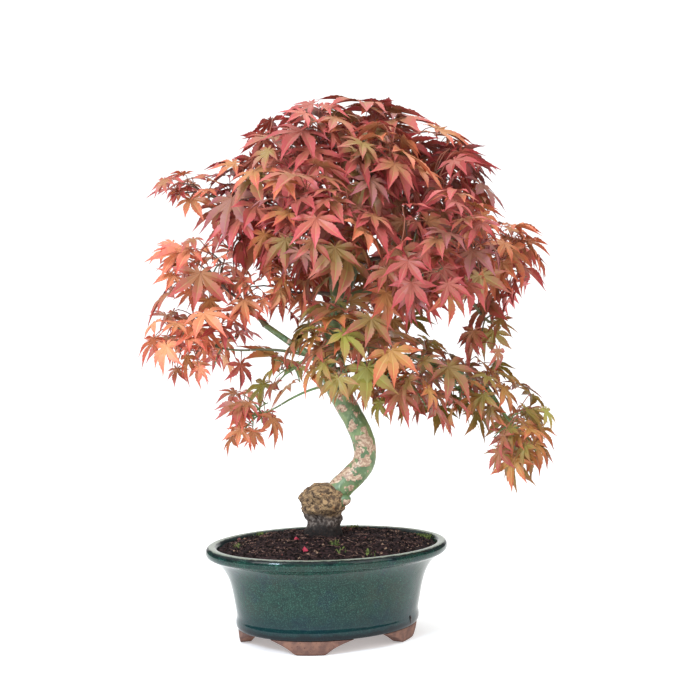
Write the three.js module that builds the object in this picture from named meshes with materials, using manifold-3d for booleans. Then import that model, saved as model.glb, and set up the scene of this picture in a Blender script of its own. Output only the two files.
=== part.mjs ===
// A Japanese maple bonsai in autumn leaf, standing in an oval glazed pot on four clay feet.
// Millimetres, +Z up. The front of the tree faces -Y, and the pot stands turned under it.
// The default export is a THREE.Group of named meshes, each one closed solid.
import * as THREE from "three";
import { ConvexGeometry } from "three/addons/geometries/ConvexGeometry.js";
import { mergeVertices } from "three/addons/utils/BufferGeometryUtils.js";
import Module from "manifold-3d";

const wasm = await Module();
wasm.setup();

// ---------------------------------------------------------------- driving sizes

const GAP = 0.3; // kept between two solids that meet
const WELD = 1e-3; // corners closer than this are one corner
const SLIVER = 0.05; // a joined solid loses edges shorter than this
const PLACES = 200; // tried along a limb for one at a height

// The pot is a lathe turning made oval: radii are shares of its rim, heights are real.
const POT = {
  halfLength: 110,
  halfWidth: 88,
  turn: THREE.MathUtils.degToRad(33),
  sides: 30,
  wallSteps: 5,
  crowding: 0.7, // power that brings a wall's steps closer together towards its top
  curl: 5, // power of the curve by which a wall flares out under the lip
};
const UNDERSIDE = 12; // of the pot's floor, over the ground
const BASE_RADIUS = 0.7;
const BEAD = [[0.742, 1.4], [0.757, 5], [0.749, 9]]; // radius, height over the underside
const OUTER_WALL = { low: 0.75, lean: 0.085, flare: 0.125, from: UNDERSIDE + 11, to: 72 };
const INNER_WALL = { low: 0.665, lean: 0.16, flare: 0.075, from: 21, to: 77 };
// over the outer wall's top
const LIP = [[0.987, 1.6], [1, 4.5], [0.992, 7.6], [0.975, 9], [0.925, 8.8], [0.906, 7.3]];
const DRAIN = { radius: 7, apart: 70, sides: 12 };

const FOOT = {
  places: [26, 154, 232, 308].map(THREE.MathUtils.degToRad), // round the oval
  // half its span in degrees, its inner and its outer side, and its height: top, bend and sole
  levels: [
    [27, 0.58, 0.74, UNDERSIDE - GAP],
    [13, 0.62, 0.733, 3.2],
    [7, 0.64, 0.717, 0],
  ],
  steps: 5,
};

const SOIL = { edge: 78.3, top: 88, crownShare: 0.2, clear: 0.005, steps: 4, swell: 1.6 };

// The rootstock: a stub that stands on the soil and swells to a corky graft collar.
const ROOTSTOCK = {
  sides: 14,
  steps: 9,
  foot: [-4.5, 0, SOIL.top + GAP],
  head: [-4.5, 0, 131],
  // share of its height, radius
  outline: [[0, 17], [0.2, 14.8], [0.42, 15], [0.52, 19], [0.72, 20.5], [0.88, 17.5], [1, 10]],
  lumps: { depth: 1.3, round: 5, up: 17, full: 1 / 3 }, // full from that share of its height on
};

// The trunk and the main boughs. Each grows from a height on its parent, through its own
// points, and tapers along its outline of [share of its length, radius].
const LIMBS = [
  {
    name: "trunk",
    through: [
      [0, 0, 117], [10, 0, 127], [21, 1, 137.5], [29.5, 3, 148], [31.5, 4, 160], [26.5, 5, 177],
      [16, 4, 197], [6.5, 2.5, 214], [-0.5, 1, 230], [0.5, 0, 250], [5, 0, 270], [9, 0, 286],
    ],
    outline: [[0, 10.5], [0.25, 9.8], [0.6, 9.5], [0.68, 7.5], [1, 5.8]],
    sides: 10,
    steps: 17,
  },
  {
    name: "leader_right",
    parent: "trunk",
    height: 279,
    through: [[20, 2, 312], [26, 6, 336], [32, 8, 360], [36, 8, 384]],
    outline: [[0, 4.8], [1, 2.6]],
    sides: 6,
    steps: 6,
  },
  {
    name: "leader_left",
    parent: "trunk",
    height: 281,
    through: [[4, 1, 308], [5, 1, 328], [8, -3, 350], [4, -6, 382]],
    outline: [[0, 4.4], [1, 2.3]],
    sides: 6,
    steps: 6,
  },
  {
    name: "bough_left",
    parent: "trunk",
    height: 229,
    through: [[-10, 0, 238.5], [-29, 3, 250], [-55, 5, 268]],
    outline: [[0, 3.5], [1, 2.4]],
    sides: 6,
    steps: 6,
  },
  {
    name: "bough_right",
    parent: "leader_right",
    height: 291,
    through: [[50, 0, 303], [81, -2, 312], [104, -3, 320]],
    outline: [[0, 3.2], [1, 2.1]],
    sides: 6,
    steps: 6,
  },
  {
    name: "bough_low_right",
    parent: "trunk",
    height: 226,
    through: [[46, -5, 237], [72, -8, 241], [100, -6, 233], [136, -2, 213]],
    outline: [[0, 3.4], [1, 1.9]],
    sides: 6,
    steps: 8,
  },
];

// The foliage masses. Each fills an oval space of its own, reach to each side of its heart,
// and is carried by one branch that leaves a limb at a height or a share, or at its tip.
// name, heart, reach, leaves sought, look, limb, where its branch leaves that limb, and by what
// share that branch is slimmer than others
const MASSES = [
  ["top_left", [-19, -8, 413], [60, 74, 52], 12, "red", "leader_left"],
  ["top_middle", [32, 12, 430], [50, 68, 40], 10, "red", "leader_right"],
  ["top_front", [36, -50, 398], [48, 48, 44], 8, "red", "leader_right", { height: 372 }],
  ["top_right", [85, 4, 396], [60, 74, 52], 12, "red", "leader_right", { height: 366 }],
  ["shoulder_left", [-58, -8, 375], [45, 64, 47], 10, "red", "leader_left", { height: 330 }],
  ["arm_left", [-112, -4, 384], [46, 38, 18], 5, "orange", "leader_left", { height: 342 }],
  ["front_left", [-8, -72, 350], [60, 54, 56], 11, "red", "leader_left", { height: 322 }],
  ["front_right", [80, -72, 330], [62, 54, 64], 12, "red", "leader_right", { height: 318 }],
  ["right_out", [142, -2, 322], [54, 62, 42], 11, "red", "bough_right"],
  ["right_under", [138, -12, 270], [24, 40, 32], 5, "olive", "bough_right", { share: 0.9 }],
  ["back_left", [-24, 70, 360], [64, 56, 60], 10, "red", "leader_left", { height: 338 }],
  ["back_right", [86, 72, 358], [68, 54, 62], 10, "red", "leader_right", { height: 345 }],
  ["left_middle", [-104, 4, 316], [54, 62, 40], 10, "orange", "bough_left"],
  ["left_low", [-112, -4, 254], [54, 56, 38], 9, "orange", "trunk", { height: 236, slim: 0.7 }],
  ["left_inner", [-50, 8, 303], [46, 50, 42], 8, "orange", "leader_left", { height: 293 }],
  ["left_under", [-38, -6, 226], [27, 34, 24], 3, "olive", "bough_left", { share: 0.3 }],
  ["left_hang", [-69, -5, 189], [35, 34, 38], 5, "orange", "trunk", { height: 217, slim: 0.55 }],
  ["centre_low", [14, -48, 252], [52, 50, 54], 10, "olive", "trunk", { height: 230 }],
  ["low_right_inner", [68, -27, 221], [46, 48, 44], 9, "olive", "bough_low_right", { share: 0.2 }],
  ["low_right_middle", [118, 10, 210], [46, 50, 42], 9, "olive", "bough_low_right", { share: 0.6 }],
  ["low_right_out", [164, -2, 177], [34, 42, 52], 8, "olive", "bough_low_right"],
  ["back_low", [30, 58, 284], [62, 54, 52], 10, "olive", "trunk", { height: 262 }],
].map(([name, heart, reach, leaves, look, limb, start = {}]) => {
  return { name, heart, reach, leaves, look, limb, start };
});
const BRANCH = { sides: 4, steps: 3, rise: 0.12, foot: 2.2, tip: 1.5 };
const SPRAY = {
  entry: [0.85, 0.75, 0.65, 0.55, 0.45], // where a branch may end, as a share of the reach
  longest: 0.9, // of the way to the limb, where the limb is inside the mass
  sides: 3, // of stems and twigs
  stem: 1.3, // radius
  stemSteps: 2,
  twig: 0.8, // radius
  twigs: 6,
  twigReach: 0.62, // as a share of the reach
  tries: 1400,
  outwards: 0.35, // the power that sends leaves to the outside: below 1/3, most lie there
  inside: 0.85, // how far out a leaf's middle may lie, as a share of the reach
  stretch: 1.1, // and how far its tips may
  overlap: 2.5, // how deep a leaf's stalk is sunk in its twig
};

const GOLDEN_ANGLE = Math.PI * (3 - Math.sqrt(5));

// A leaf of five pointed lobes on a stalk: [angle from its middle lobe, share of its length].
const LEAF = {
  length: [30, 38],
  above: 0.02, // thickness over its middle, and under it
  below: 0.04,
  stalk: 0.85, // the longest, as a share of the length
  stalkSpread: THREE.MathUtils.degToRad(25), // how far it may lie off the middle lobe's line
  halfOutline: [[0, 1], [23, 0.45], [47, 0.95], [71, 0.42], [97, 0.68], [148, 0.1]],
  arch: 0.2, // how far the tips hang below the middle
  droop: [20, 75].map(THREE.MathUtils.degToRad), // of the middle lobe, under level
  lift: THREE.MathUtils.degToRad(20), // how much less the droop is at a mass's top
  fold: THREE.MathUtils.degToRad(72), // the most that a leaf bends down from its stalk
  swing: 0.38, // how far a leaf may turn from the line of its stalk
  roll: 0.55,
};

const LOOKS = {
  glaze: { color: 0x24483f, roughness: 0.12 },
  clay: { color: 0x80563f, roughness: 0.8 },
  soil: { color: 0x35211c, roughness: 1 },
  cork: { color: 0xa87f50, roughness: 0.9 },
  bark: { color: 0x64825a, roughness: 0.55 },
  red: { color: 0xa6584b, roughness: 0.6 },
  orange: { color: 0xd07a5a, roughness: 0.6 },
  olive: { color: 0x9f7f48, roughness: 0.6 },
};

// ---------------------------------------------------------------- solids

const { Manifold } = wasm;

// A three.js geometry as a manifold-3d solid.
function solidOf(geometry) {
  const plain = geometry.index ? geometry.toNonIndexed() : geometry;
  const bare = new THREE.BufferGeometry().setAttribute("position", plain.getAttribute("position"));
  const merged = mergeVertices(bare, WELD);
  return new Manifold(
    new wasm.Mesh({
      numProp: 3,
      vertProperties: new Float32Array(merged.getAttribute("position").array),
      triVerts: new Uint32Array(merged.index.array),
    }),
  );
}

// The reverse: a manifold-3d solid as a three.js geometry.
function geometryOf(solid) {
  const mesh = solid.getMesh();
  const geometry = new THREE.BufferGeometry();
  geometry.setAttribute("position", new THREE.BufferAttribute(mesh.vertProperties, mesh.numProp));
  geometry.setIndex(new THREE.BufferAttribute(mesh.triVerts, 1));
  geometry.computeVertexNormals();
  return geometry;
}

// The largest body of a solid: loose scraps and the walls of sealed hollows are dropped.
function mainBody(solid) {
  const bodies = solid.simplify(SLIVER).decompose();
  return bodies.reduce((best, body) => (body.volume() > best.volume() ? body : best));
}

function named(name, solid, look) {
  const material = new THREE.MeshStandardMaterial({ ...look, metalness: 0, flatShading: true });
  const mesh = new THREE.Mesh(geometryOf(solid), material);
  mesh.name = name;
  return mesh;
}

const vector = (place) => new THREE.Vector3(...place);

// A value between the steps of an outline of [share, value] rows.
function along(outline, share) {
  const next = outline.findIndex(([at]) => at >= share);
  if (next < 1) return outline[Math.max(next, 0)][1];
  const [from, low] = outline[next - 1];
  const [to, high] = outline[next];
  return THREE.MathUtils.lerp(low, high, (share - from) / (to - from));
}

// A closed tube round a curve. radiusAt(share, angle) gives its radius.
function tube(curve, radiusAt, sides, steps) {
  const geometry = new THREE.CylinderGeometry(1, 1, 1, sides, steps);
  const frames = curve.computeFrenetFrames(steps);
  const position = geometry.getAttribute("position");
  for (let i = 0; i < position.count; i++) {
    const share = THREE.MathUtils.clamp(position.getY(i) + 0.5, 0, 1);
    const ring = Math.round(share * steps);
    const [x, z] = [position.getX(i), position.getZ(i)];
    const radius = radiusAt(share, Math.atan2(z, x));
    const place = curve.getPointAt(share);
    place.addScaledVector(frames.normals[ring], x * radius);
    place.addScaledVector(frames.binormals[ring], -z * radius);
    position.setXYZ(i, ...place);
  }
  return solidOf(geometry);
}

// ---------------------------------------------------------------- pot, feet and soil

// A profile of [share of the rim, height] points, turned and made oval.
function ovalTurning(profile) {
  const points = profile.map(([radius, height]) => new THREE.Vector2(radius, height));
  const geometry = new THREE.LatheGeometry(points, POT.sides);
  geometry.rotateX(Math.PI / 2);
  geometry.scale(POT.halfLength, POT.halfWidth, 1);
  return solidOf(geometry);
}

// Points up a wall that leans out and then flares, each inset by clear.
function wallPoints({ low, lean, flare, from, to }, clear = 0) {
  return Array.from({ length: POT.wallSteps + 1 }, (_, i) => {
    const up = (i / POT.wallSteps) ** POT.crowding;
    return [low + lean * up + flare * up ** POT.curl - clear, from + (to - from) * up];
  });
}

function potSolid() {
  const shell = ovalTurning([
    [0, UNDERSIDE],
    [BASE_RADIUS, UNDERSIDE],
    ...BEAD.map(([radius, height]) => [radius, UNDERSIDE + height]),
    ...wallPoints(OUTER_WALL),
    ...LIP.map(([radius, height]) => [radius, OUTER_WALL.to + height]),
    ...wallPoints(INNER_WALL).reverse(),
    [0, INNER_WALL.from],
  ]);
  const depth = INNER_WALL.from - UNDERSIDE;
  const drains = [-1, 1].map((side) => {
    const bore = new THREE.CylinderGeometry(DRAIN.radius, DRAIN.radius, depth * 3, DRAIN.sides);
    bore.rotateX(Math.PI / 2);
    bore.translate((side * DRAIN.apart) / 2, 0, UNDERSIDE + depth / 2);
    return solidOf(bore);
  });
  return shell.subtract(Manifold.union(drains));
}

// A block that follows the pot's edge under it and rounds in to its narrow flat sole.
function footSolid(place) {
  const corners = FOOT.levels.flatMap(([halfSpan, inner, outer, height]) =>
    Array.from({ length: FOOT.steps + 1 }, (_, i) => {
      const angle = place + THREE.MathUtils.degToRad(halfSpan) * ((2 * i) / FOOT.steps - 1);
      const [x, y] = [POT.halfLength * Math.cos(angle), POT.halfWidth * Math.sin(angle)];
      return [inner, outer].map((share) => new THREE.Vector3(x * share, y * share, height));
    }).flat(),
  );
  return solidOf(new ConvexGeometry(corners));
}

// The soil fills the pot and mounds up to a level top under the rootstock.
function soilSolid() {
  const inside = wallPoints(INNER_WALL, SOIL.clear);
  const edge = along(inside.map(([radius, height]) => [height, radius]), INNER_WALL.to);
  const mound = Array.from({ length: SOIL.steps + 1 }, (_, i) => {
    const out = 1 - i / SOIL.steps;
    const radius = THREE.MathUtils.lerp(SOIL.crownShare, edge, out);
    return [radius, THREE.MathUtils.lerp(SOIL.top, SOIL.edge, out ** SOIL.swell)];
  });
  return ovalTurning([[0, INNER_WALL.from + GAP], ...raised(inside), ...mound, [0, SOIL.top]]);
}

// The first point of a wall lifted clear of the floor that it stands on.
function raised([[radius, height], ...rest]) {
  return [[radius, height + GAP], ...rest];
}

// ---------------------------------------------------------------- trunk and boughs

// The rootstock's solid, or its shape grown by clear to cut what meets it.
function rootstockSolid(clear = 0) {
  const { foot, head, outline, lumps, sides, steps } = ROOTSTOCK;
  const axis = new THREE.LineCurve3(vector(foot), vector(head));
  const radiusAt = (share, angle) => {
    const [way, rise] = [lumps.round * angle, lumps.up * share];
    const lump = Math.sin(way + rise) + Math.cos(2 * angle - rise);
    return along(outline, share) + clear + lumps.depth * lump * Math.min(1, share / lumps.full);
  };
  return tube(axis, radiusAt, sides, steps);
}

// The point of a limb's axis at a height, or at a share of its length: its tip, if none is given.
function placeOn({ axis }, { height, share = 1 }) {
  if (height === undefined) return axis.getPointAt(share);
  const places = axis.getSpacedPoints(PLACES);
  const miss = (place) => Math.abs(place.z - height);
  return places.reduce((best, place) => (miss(place) < miss(best) ? place : best));
}

const limbs = new Map(); // name: its axis, its solid and the shape that cuts what meets it
const rootstock = rootstockSolid();
let cutter = rootstockSolid(GAP);
let wood = rootstock;

// Adds a limb, cut clear of all that it grows from.
function grow(name, axis, outline, sides, steps) {
  const round = (clear) => tube(axis, (share) => along(outline, share) + clear, sides, steps);
  const solid = mainBody(round(0).subtract(cutter));
  cutter = cutter.add(round(GAP));
  wood = wood.add(solid);
  limbs.set(name, { axis, solid });
}

for (const { name, parent, height, through, outline, sides, steps } of LIMBS) {
  const places = through.map(vector);
  if (parent) places.unshift(placeOn(limbs.get(parent), { height }));
  grow(name, new THREE.CatmullRomCurve3(places), outline, sides, steps);
}

// ---------------------------------------------------------------- the masses' spaces

for (const mass of MASSES) {
  mass.centre = vector(mass.heart);
  mass.radii = vector(mass.reach);
  mass.size = mass.reach.reduce((sum, radius) => sum + radius) / mass.reach.length;
  mass.slim = mass.start.slim ?? 1;
}

// How deep in a mass's ball a point lies. Where two are equal, a flat border runs.
const power = (mass, point) => mass.centre.distanceToSquared(point) - mass.size ** 2;

// Whether a point lies within a mass's reach and on its own side of every border.
function inSpace(mass, point, stretch = 1) {
  const out = point.clone().sub(mass.centre).divide(mass.radii).length();
  if (out > stretch) return false;
  return MASSES.every((other) => {
    if (other === mass) return true;
    const margin = 2 * GAP * mass.centre.distanceTo(other.centre);
    return power(mass, point) + margin < power(other, point);
  });
}

// Whether a whole solid does: the spaces are convex, so its corners tell.
function keepsTo(mass, solid, stretch) {
  const { vertProperties, numProp } = solid.getMesh();
  for (let i = 0; i < vertProperties.length; i += numProp) {
    const [x, y, z] = vertProperties.subarray(i, i + 3);
    if (!inSpace(mass, new THREE.Vector3(x, y, z), stretch)) return false;
  }
  return true;
}

// ---------------------------------------------------------------- branches

// A branch runs from its limb to where it enters its mass, with a slight rise on the way.
for (const mass of MASSES) {
  const start = placeOn(limbs.get(mass.limb), mass.start);
  const inward = start.clone().sub(mass.centre);
  const out = inward.clone().divide(mass.radii).length();
  const ends = SPRAY.entry.map((share) => {
    return mass.centre.clone().addScaledVector(inward, Math.min(share / out, SPRAY.longest));
  });
  mass.entry = ends.find((end) => inSpace(mass, end)) ?? ends.at(-1);
  const middle = start.clone().lerp(mass.entry, 0.5);
  middle.z += BRANCH.rise * start.distanceTo(mass.entry);
  const axis = new THREE.QuadraticBezierCurve3(start, middle, mass.entry);
  const taper = [[0, BRANCH.foot * mass.slim], [1, BRANCH.tip * mass.slim]];
  grow("branch_" + mass.name, axis, taper, BRANCH.sides, BRANCH.steps);
  mass.heading = axis.getTangentAt(1);
}

// ---------------------------------------------------------------- leaves and sprays

// Numbers from 0 to 1 that always come in the same order from the same seed.
function seeded(seed) {
  let state = seed;
  return (low = 0, high = 1) => {
    state = (Math.imul(state, 1664525) + 1013904223) >>> 0;
    return low + (high - low) * (state / 2 ** 32);
  };
}

// A leaf's solid round its middle: a star of lobes, thickest there, whose stalk ends at root.
// There is none where the stalk would not leave between the two hindmost lobes.
function leafSolid(middle, root, { azimuth, droop, roll, length }) {
  const pose = new THREE.Matrix4().makeRotationZ(azimuth);
  pose.multiply(new THREE.Matrix4().makeRotationY(droop));
  pose.multiply(new THREE.Matrix4().makeRotationX(roll));
  pose.scale(new THREE.Vector3(length, length, length)).setPosition(middle);
  const stalk = root.clone().applyMatrix4(pose.clone().invert());
  if (Math.abs(Math.atan2(stalk.y, stalk.x)) < Math.PI - LEAF.stalkSpread) return undefined;
  const corner = ([degrees, share], side) => {
    const angle = side * THREE.MathUtils.degToRad(degrees);
    const across = [Math.cos(angle) * share, Math.sin(angle) * share];
    return new THREE.Vector3(...across, -LEAF.arch * share ** 2).applyMatrix4(pose);
  };
  const left = LEAF.halfOutline.map((point) => corner(point, 1));
  const right = LEAF.halfOutline.slice(1).map((point) => corner(point, -1));
  const rim = [...left, root, ...right.reverse()];
  const apex = (height) => new THREE.Vector3(0, 0, height).applyMatrix4(pose);
  const [top, bottom] = [apex(LEAF.above), apex(-LEAF.below)];
  const faces = rim.flatMap((point, i) => {
    const next = rim[(i + 1) % rim.length];
    return [top, point, next, bottom, next, point];
  });
  return solidOf(new THREE.BufferGeometry().setFromPoints(faces));
}

// The nearest place on a mass's own wood: [the place, the piece of wood].
function nearestOn(lines, point) {
  const near = lines.map(({ line, piece }) => {
    const place = line.closestPointToPoint(point, true, new THREE.Vector3());
    return { place, piece, away: place.distanceTo(point) };
  });
  const { place, piece } = near.reduce((best, next) => (next.away < best.away ? next : best));
  return [place, piece];
}

// A point of a mass's space: how far round it, how high and how far out, each as a share.
function placeIn(mass, turn, height, far) {
  const round = Math.sqrt(1 - height ** 2);
  const place = new THREE.Vector3(round * Math.cos(turn), round * Math.sin(turn), height);
  return place.multiply(mass.radii).multiplyScalar(far).add(mass.centre);
}

// How a leaf hangs that grows from start to middle: the higher in its mass, the more level.
function leafPose(random, start, middle, height) {
  const way = middle.clone().sub(start);
  const rise = Math.atan2(way.z, Math.hypot(way.x, way.y));
  const droop = random(...LEAF.droop) - LEAF.lift * height;
  return {
    azimuth: Math.atan2(way.y, way.x) + random(-LEAF.swing, LEAF.swing),
    droop: Math.min(droop, LEAF.fold - rise),
    roll: random(-LEAF.roll, LEAF.roll),
    length: random(...LEAF.length),
  };
}

// One mass: a stem from its branch's tip, twigs fanned out to all sides of it, and leaves in
// all its space, each from the nearest wood there is.
function spraySolid(mass, seed) {
  const random = seeded(seed);
  const foot = mass.entry.clone().addScaledVector(mass.heading, GAP);
  const bend = foot.clone().addScaledVector(mass.heading, foot.distanceTo(mass.centre) / 2);
  const axis = new THREE.QuadraticBezierCurve3(foot, bend, mass.centre);
  const knots = axis.getSpacedPoints(SPRAY.stemSteps);
  const stem = tube(axis, () => SPRAY.stem * mass.slim, SPRAY.sides, SPRAY.stemSteps);
  const wooden = [stem];
  const lines = knots.slice(1).map((knot, i) => {
    return { line: new THREE.Line3(knots[i], knot), piece: stem };
  });
  const leaves = [];
  const apart = (piece, others) => others.every((other) => other.minGap(piece, 2 * GAP) > GAP);
  const fits = (piece) => keepsTo(mass, piece, SPRAY.stretch) && wood.minGap(piece, 2 * GAP) > GAP / 2;
  const addTwig = (start, end) => {
    const twig = tube(new THREE.LineCurve3(start, end), () => SPRAY.twig, SPRAY.sides, 1);
    if (!fits(twig) || !apart(twig, leaves)) return false;
    wooden.push(twig);
    lines.push({ line: new THREE.Line3(start, end), piece: twig });
    return true;
  };

  for (let i = 0; i < SPRAY.twigs; i++) {
    const height = 1 - (2 * i + 1) / SPRAY.twigs;
    const start = axis.getPointAt(random(0.5, 1));
    addTwig(start, placeIn(mass, seed + i * GOLDEN_ANGLE, height, SPRAY.twigReach));
  }
  for (let tries = 0; tries < SPRAY.tries && leaves.length < mass.leaves; tries++) {
    const [turn, height, far] = [random(0, 2 * Math.PI), random(-1, 1), random() ** SPRAY.outwards];
    const middle = placeIn(mass, turn, height, far * SPRAY.inside);
    const [start, host] = nearestOn(lines, middle);
    const pose = leafPose(random, start, middle, height);
    // A leaf near wood sits on it by its stalk, and a far one on a twig of its own.
    const way = middle.clone().sub(start);
    const seat = middle.clone().sub(way.clone().clampLength(0, LEAF.stalk * pose.length));
    const root = seat.clone().sub(way.setLength(SPRAY.overlap));
    const leaf = leafSolid(middle, root, pose);
    const seated = seat.distanceTo(start) < WELD;
    const others = wooden.filter((piece) => !(seated && piece === host));
    if (!leaf || !fits(leaf) || !apart(leaf, [...leaves, ...others])) continue;
    if (!seated && !addTwig(start, seat)) continue;
    leaves.push(leaf);
  }
  return mainBody(Manifold.union([...wooden, ...leaves]));
}

// ---------------------------------------------------------------- the whole

const vessel = new THREE.Group();
vessel.rotation.z = POT.turn;
vessel.add(named("pot", potSolid(), LOOKS.glaze));
FOOT.places.forEach((place, i) => vessel.add(named("foot_" + (i + 1), footSolid(place), LOOKS.clay)));
vessel.add(named("soil", soilSolid(), LOOKS.soil));

const tree = new THREE.Group();
tree.add(named("rootstock", rootstock, LOOKS.cork));
for (const [name, { solid }] of limbs) tree.add(named(name, solid, LOOKS.bark));
MASSES.forEach((mass, i) => {
  tree.add(named("foliage_" + mass.name, spraySolid(mass, i + 1), LOOKS[mass.look]));
});

// The origin is on the ground, under the middle of the whole.
const plant = new THREE.Group();
plant.add(vessel, tree);
const box = new THREE.Box3().setFromObject(plant, true);
const middle = box.getCenter(new THREE.Vector3());
plant.position.set(-middle.x, -middle.y, -box.min.z);

const group = new THREE.Group();
group.add(plant);
export default group;
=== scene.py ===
"""A Japanese maple bonsai in autumn leaf, in an oval glazed pot on four clay feet.

The plant is worked out in millimetres in its own frame, whose origin is on the ground under
the middle of the pot. placed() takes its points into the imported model's frame, in metres.
"""

import math

import bpy
import numpy as np
from mathutils import Matrix, Vector, noise
from mathutils.bvhtree import BVHTree


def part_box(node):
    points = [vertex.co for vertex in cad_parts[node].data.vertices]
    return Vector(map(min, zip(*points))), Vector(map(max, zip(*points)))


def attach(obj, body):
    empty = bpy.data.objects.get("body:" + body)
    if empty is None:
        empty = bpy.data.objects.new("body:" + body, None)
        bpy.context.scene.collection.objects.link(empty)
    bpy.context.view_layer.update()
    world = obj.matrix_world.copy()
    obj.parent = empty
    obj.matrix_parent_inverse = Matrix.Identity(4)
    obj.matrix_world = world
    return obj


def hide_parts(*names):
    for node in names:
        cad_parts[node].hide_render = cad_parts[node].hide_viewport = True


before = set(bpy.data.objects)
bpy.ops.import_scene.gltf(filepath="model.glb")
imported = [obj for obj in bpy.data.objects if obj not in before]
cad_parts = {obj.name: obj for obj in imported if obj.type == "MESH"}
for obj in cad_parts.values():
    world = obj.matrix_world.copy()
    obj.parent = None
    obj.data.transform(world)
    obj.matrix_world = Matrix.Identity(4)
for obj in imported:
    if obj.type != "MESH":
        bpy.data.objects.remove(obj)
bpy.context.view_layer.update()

# ---- driving sizes, millimetres

MM = 0.001  # of a metre
GAP = 0.3  # kept between two solids of the frame that meet

# The pot is a lathe turning made oval: radii are shares of its rim, heights are real.
POT = {"half_length": 110, "half_width": 88, "turn": math.radians(33)}
UNDERSIDE = 12  # of the pot's floor, over the ground
BASE = 0.7  # radius of the pot's underside
BEAD = {"middle": (0.738, 17), "reach": (0.0195, 4.9), "degrees": (-78, 38)}
WAIST = (0.7508, 21.6)
CURL = 5  # power of the curve by which a wall flares out under the lip
OUTER_WALL = {"low": 0.75, "lean": 0.085, "flare": 0.125, "from": 23, "to": 72}
INNER_WALL = {"low": 0.665, "lean": 0.16, "flare": 0.075, "from": 21, "to": 77}
LIP = {"middle": (0.963, 76.5), "reach": (0.037, 4.5), "degrees": (-72, 82)}
LIP_TOP = [(0.962, 81), (0.945, 81), (0.93, 80.8), (0.918, 80.3), (0.91, 79.5), (0.904, 78.4)]
MIDDLE = 0.02  # radius of the small rings that close the turnings in their middle
DRAIN = {"radius": 7, "apart": 70, "spare": 6}
DRIP = {"angle": math.radians(-55), "from": (0.752, 21.5), "to": (0.75, 13.5), "radius": 1.5}

FEET = {"foot_1": 26, "foot_2": 154, "foot_3": 232, "foot_4": 308}  # degrees round the oval
FOOT = {
    "span": (7, 27),  # degrees to each side, at the sole and under the pot
    "inner": (0.64, 0.58),
    "outer": (0.717, 0.74),
    "height": 11.7,
    "corner": 0.4,  # power of the curve that rounds its corners in to the sole
    "fillet": 2.4,  # and of the one that spreads it under the pot
    "edge": 1.2,
}

SOIL = {"edge": 78.3, "top": 88, "crown": 0.2, "swell": 1.6, "reach": 0.9}
CRUMBS = {"count": 2600, "size": 2.1}
ROOTS = {"count": 260, "radius": (0.14, 0.34)}
# Moss: each tuft's place, the blades in it and how far they reach.
MOSS = [
    (-76, -30, 12, 5), (5, -40, 42, 6), (12, -59, 12, 7), (34, -57, 14, 7), (86, 34, 70, 8),
    (-62, 36, 30, 7), (22, 58, 40, 7),
]
SCRAPS = {"count": 12, "size": (0.8, 2.2)}  # of fallen leaves
PETALS = {"places": [(-27, -28), (-18, -60)], "size": 3.4}

ROOTSTOCK = {
    "foot": (-4.5, 0, 86),
    "head": (-4.5, 0, 131),
    "outline": [(0, 17), (0.2, 14.8), (0.42, 15), (0.52, 19), (0.72, 20.5), (0.88, 17.5), (1, 8)],
    "collar": 0.38,  # where its corky collar starts, as a share of the height
}
KNOB = {"path": [(8, -8, 116), (15, -10, 118.5), (18.5, -11, 120)], "radius": 5}
# The bark: how far a limb swells where it leaves its parent, and how far apart its rings are.
BARK = {"trunk": (0, 31), "bough": (1.6, 17), "branch": (0.9, 13)}

# The trunk and the main boughs. Each grows from a height on its parent, through its own
# points, and tapers along its outline of (share of its length, radius).
LIMBS = {
    "trunk": {
        "through": [
            (0, 0, 117), (10, 0, 127), (21, 1, 137.5), (29.5, 3, 148), (31.5, 4, 160),
            (26.5, 5, 177), (16, 4, 197), (6.5, 2.5, 214), (-0.5, 1, 230), (0.5, 0, 250),
            (5, 0, 270), (9, 0, 286),
        ],
        "outline": [(0, 10.5), (0.25, 9.8), (0.6, 9.5), (0.68, 7.5), (1, 5.8)],
    },
    "leader_right": {
        "from": ("trunk", 279),
        "through": [(20, 2, 312), (26, 6, 336), (32, 8, 360), (36, 8, 384)],
        "outline": [(0, 4.8), (1, 2.6)],
    },
    "leader_left": {
        "from": ("trunk", 281),
        "through": [(4, 1, 308), (5, 1, 328), (8, -3, 350), (4, -6, 382)],
        "outline": [(0, 4.4), (1, 2.3)],
    },
    "bough_left": {
        "from": ("trunk", 229),
        "through": [(-10, 0, 238.5), (-29, 3, 250), (-55, 5, 268)],
        "outline": [(0, 3.5), (1, 2.4)],
    },
    "bough_right": {
        "from": ("leader_right", 291),
        "through": [(50, 0, 303), (81, -2, 312), (104, -3, 320)],
        "outline": [(0, 3.2), (1, 2.1)],
    },
    "bough_low_right": {
        "from": ("trunk", 226),
        "through": [(46, -5, 237), (72, -8, 241), (100, -6, 233), (136, -2, 213)],
        "outline": [(0, 3.4), (1, 1.9)],
    },
}

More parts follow.
